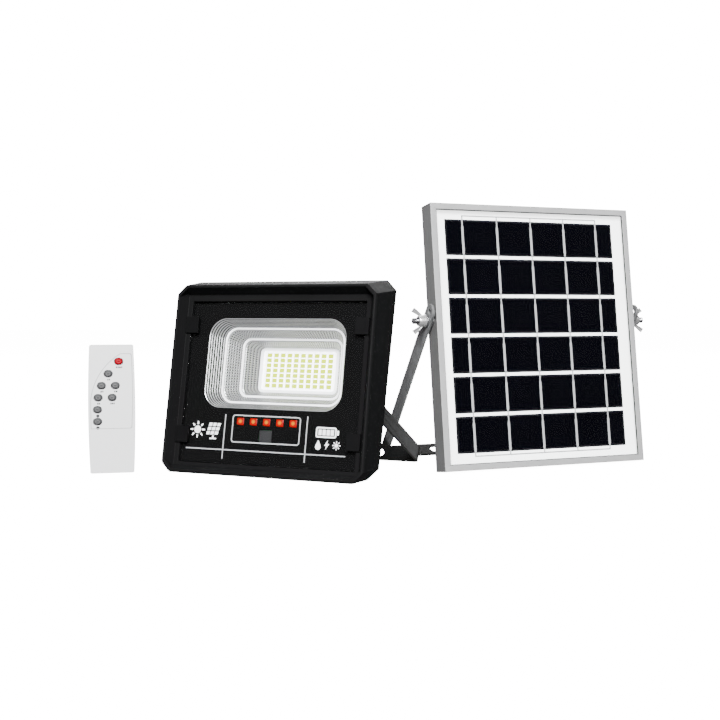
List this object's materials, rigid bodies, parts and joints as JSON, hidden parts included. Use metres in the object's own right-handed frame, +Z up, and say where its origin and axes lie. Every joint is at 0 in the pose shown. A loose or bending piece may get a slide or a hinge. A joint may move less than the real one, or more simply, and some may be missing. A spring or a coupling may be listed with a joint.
{
  "type": "solar flood light",
  "caption": "LED flood light head on a tilting U bracket, with a framed solar panel on a tilting stand and a hand-held infrared remote.",
  "frame": {"origin": "on the floor, under the centre of the whole kit's box", "axes": "+X to the right along the row of three units as seen from the front, +Y to the back, +Z up"},
  "size_m": [0.4551, 0.2274, 0.2117],
  "materials": {
    "lamp_black": "satin",
    "clip_black": "matte",
    "clear_glass": "polished",
    "mask_print": "satin",
    "gasket_rubber": "matte",
    "reflector_chrome": "metallised",
    "board_white": "satin",
    "led_phosphor": "lit",
    "screw_steel": "satin",
    "sink_aluminium": "anodised black",
    "board_green": "satin",
    "indicator_red": "lit",
    "sensor_grey": "gloss",
    "battery_wrap": "sleeved",
    "gland_black": "matte",
    "bracket_paint": "painted grey",
    "stand_zinc": "galvanised",
    "frame_aluminium": "anodised",
    "solar_silicon": "gloss",
    "ribbon_tin": "tinned",
    "backsheet_white": "matte",
    "wing_zinc": "zinc plated",
    "remote_white": "satin",
    "button_grey": "matte",
    "button_red_rubber": "matte",
    "coin_steel": "polished",
    "ir_lens": "gloss"
  },
  "bodies": {
    "lamp_bracket": {"lamp_bracket": "bracket_paint", "tilt_screws": "screw_steel", "tilt_washers": "gasket_rubber"},
    "lamp_head": {"lamp_housing": "lamp_black", "lamp_glass": "clear_glass", "printed_mask": "mask_print", "glass_gasket": "gasket_rubber", "glass_clips": "clip_black", "reflector": "reflector_chrome", "led_board": "board_white", "led_chips": "led_phosphor", "led_board_screws": "screw_steel", "heat_sink": "sink_aluminium", "heat_sink_screws": "screw_steel", "control_board": "board_green", "indicator_leds": "indicator_red", "ir_receiver": "sensor_grey", "battery_cells": "battery_wrap", "battery_holder": "gland_black", "rear_cover": "lamp_black", "rear_cover_gasket": "gasket_rubber", "rear_cover_screws": "screw_steel", "cable_gland": "gland_black", "gland_cap": "gland_black", "gland_nut": "gland_black"},
    "panel_stand": {"panel_stand": "stand_zinc"},
    "solar_panel": {"frame_rail_left": "frame_aluminium", "frame_rail_right": "frame_aluminium", "frame_rail_top": "frame_aluminium", "frame_rail_bottom": "frame_aluminium", "corner_keys": "frame_aluminium", "panel_glass": "clear_glass", "solar_cells": "solar_silicon", "cell_ribbons": "ribbon_tin", "backsheet": "backsheet_white", "junction_box": "gland_black", "junction_box_lid": "gland_black", "junction_gland": "gland_black", "blocking_diode": "sensor_grey", "panel_pivot_bolts": "screw_steel", "panel_spacers": "screw_steel", "wing_nut_washers": "screw_steel"},
    "wing_nut_left": {"wing_nut_left": "wing_zinc"},
    "wing_nut_right": {"wing_nut_right": "wing_zinc"},
    "remote": {"remote_front_shell": "remote_white", "remote_rear_shell": "remote_white", "remote_key_mat": "button_grey", "remote_board": "board_green", "ir_emitter": "ir_lens"},
    "button_red": {"button_red": "button_red_rubber"},
    "button_1": {"button_1": "button_grey"},
    "button_2": {"button_2": "button_grey"},
    "button_3": {"button_3": "button_grey"},
    "button_4": {"button_4": "button_grey"},
    "button_5": {"button_5": "button_grey"},
    "button_6": {"button_6": "button_grey"},
    "button_7": {"button_7": "button_grey"},
    "battery_tray": {"battery_tray": "remote_white", "coin_cell": "coin_steel"}
  },
  "joints": [
    {"name": "lamp_tilt", "type": "hinge", "parent": "lamp_bracket", "child": "lamp_head", "pos_m": [-0.07791, -0.04603, 0.05366], "axis": [0.9178, -0.3971, 0], "range_deg": [-30, 45]},
    {"name": "panel_lift", "type": "slide", "parent": "lamp_bracket", "child": "panel_stand", "axis": [0, 0, 1], "range_m": [0, 0.15]},
    {"name": "panel_tilt", "type": "hinge", "parent": "panel_stand", "child": "solar_panel", "pos_m": [0.12637, -0.00631, 0.11847], "axis": [0.9262, 0.377, 0], "range_deg": [-80, 20]},
    {"name": "wing_nut_left_turn", "type": "hinge", "parent": "solar_panel", "child": "wing_nut_left", "pos_m": [0.03356, -0.04409, 0.11847], "axis": [-0.9262, -0.377, 0], "continuous": true},
    {"name": "wing_nut_right_turn", "type": "hinge", "parent": "solar_panel", "child": "wing_nut_right", "pos_m": [0.21917, 0.03147, 0.11847], "axis": [0.9262, 0.377, 0], "continuous": true},
    {"name": "remote_lift", "type": "slide", "parent": "lamp_bracket", "child": "remote", "axis": [0, 0, 1], "range_m": [0, 0.12]},
    {"name": "tray_slide", "type": "slide", "parent": "remote", "child": "battery_tray", "axis": [0, 0, -1], "range_m": [0, 0.03]},
    {"name": "button_red_press", "type": "slide", "parent": "remote", "child": "button_red", "axis": [-0.2079, 0.9781, 0], "range_m": [0, 0.0008], "stiffness_N_per_m": 300, "springref_m": -0.0006},
    {"name": "button_1_press", "type": "slide", "parent": "remote", "child": "button_1", "axis": [-0.2079, 0.9781, 0], "range_m": [0, 0.0008], "stiffness_N_per_m": 300, "springref_m": -0.0006},
    {"name": "button_2_press", "type": "slide", "parent": "remote", "child": "button_2", "axis": [-0.2079, 0.9781, 0], "range_m": [0, 0.0008], "stiffness_N_per_m": 300, "springref_m": -0.0006},
    {"name": "button_3_press", "type": "slide", "parent": "remote", "child": "button_3", "axis": [-0.2079, 0.9781, 0], "range_m": [0, 0.0008], "stiffness_N_per_m": 300, "springref_m": -0.0006},
    {"name": "button_4_press", "type": "slide", "parent": "remote", "child": "button_4", "axis": [-0.2079, 0.9781, 0], "range_m": [0, 0.0008], "stiffness_N_per_m": 300, "springref_m": -0.0006},
    {"name": "button_5_press", "type": "slide", "parent": "remote", "child": "button_5", "axis": [-0.2079, 0.9781, 0], "range_m": [0, 0.0008], "stiffness_N_per_m": 300, "springref_m": -0.0006},
    {"name": "button_6_press", "type": "slide", "parent": "remote", "child": "button_6", "axis": [-0.2079, 0.9781, 0], "range_m": [0, 0.0008], "stiffness_N_per_m": 300, "springref_m": -0.0006},
    {"name": "button_7_press", "type": "slide", "parent": "remote", "child": "button_7", "axis": [-0.2079, 0.9781, 0], "range_m": [0, 0.0008], "stiffness_N_per_m": 300, "springref_m": -0.0006}
  ]
}
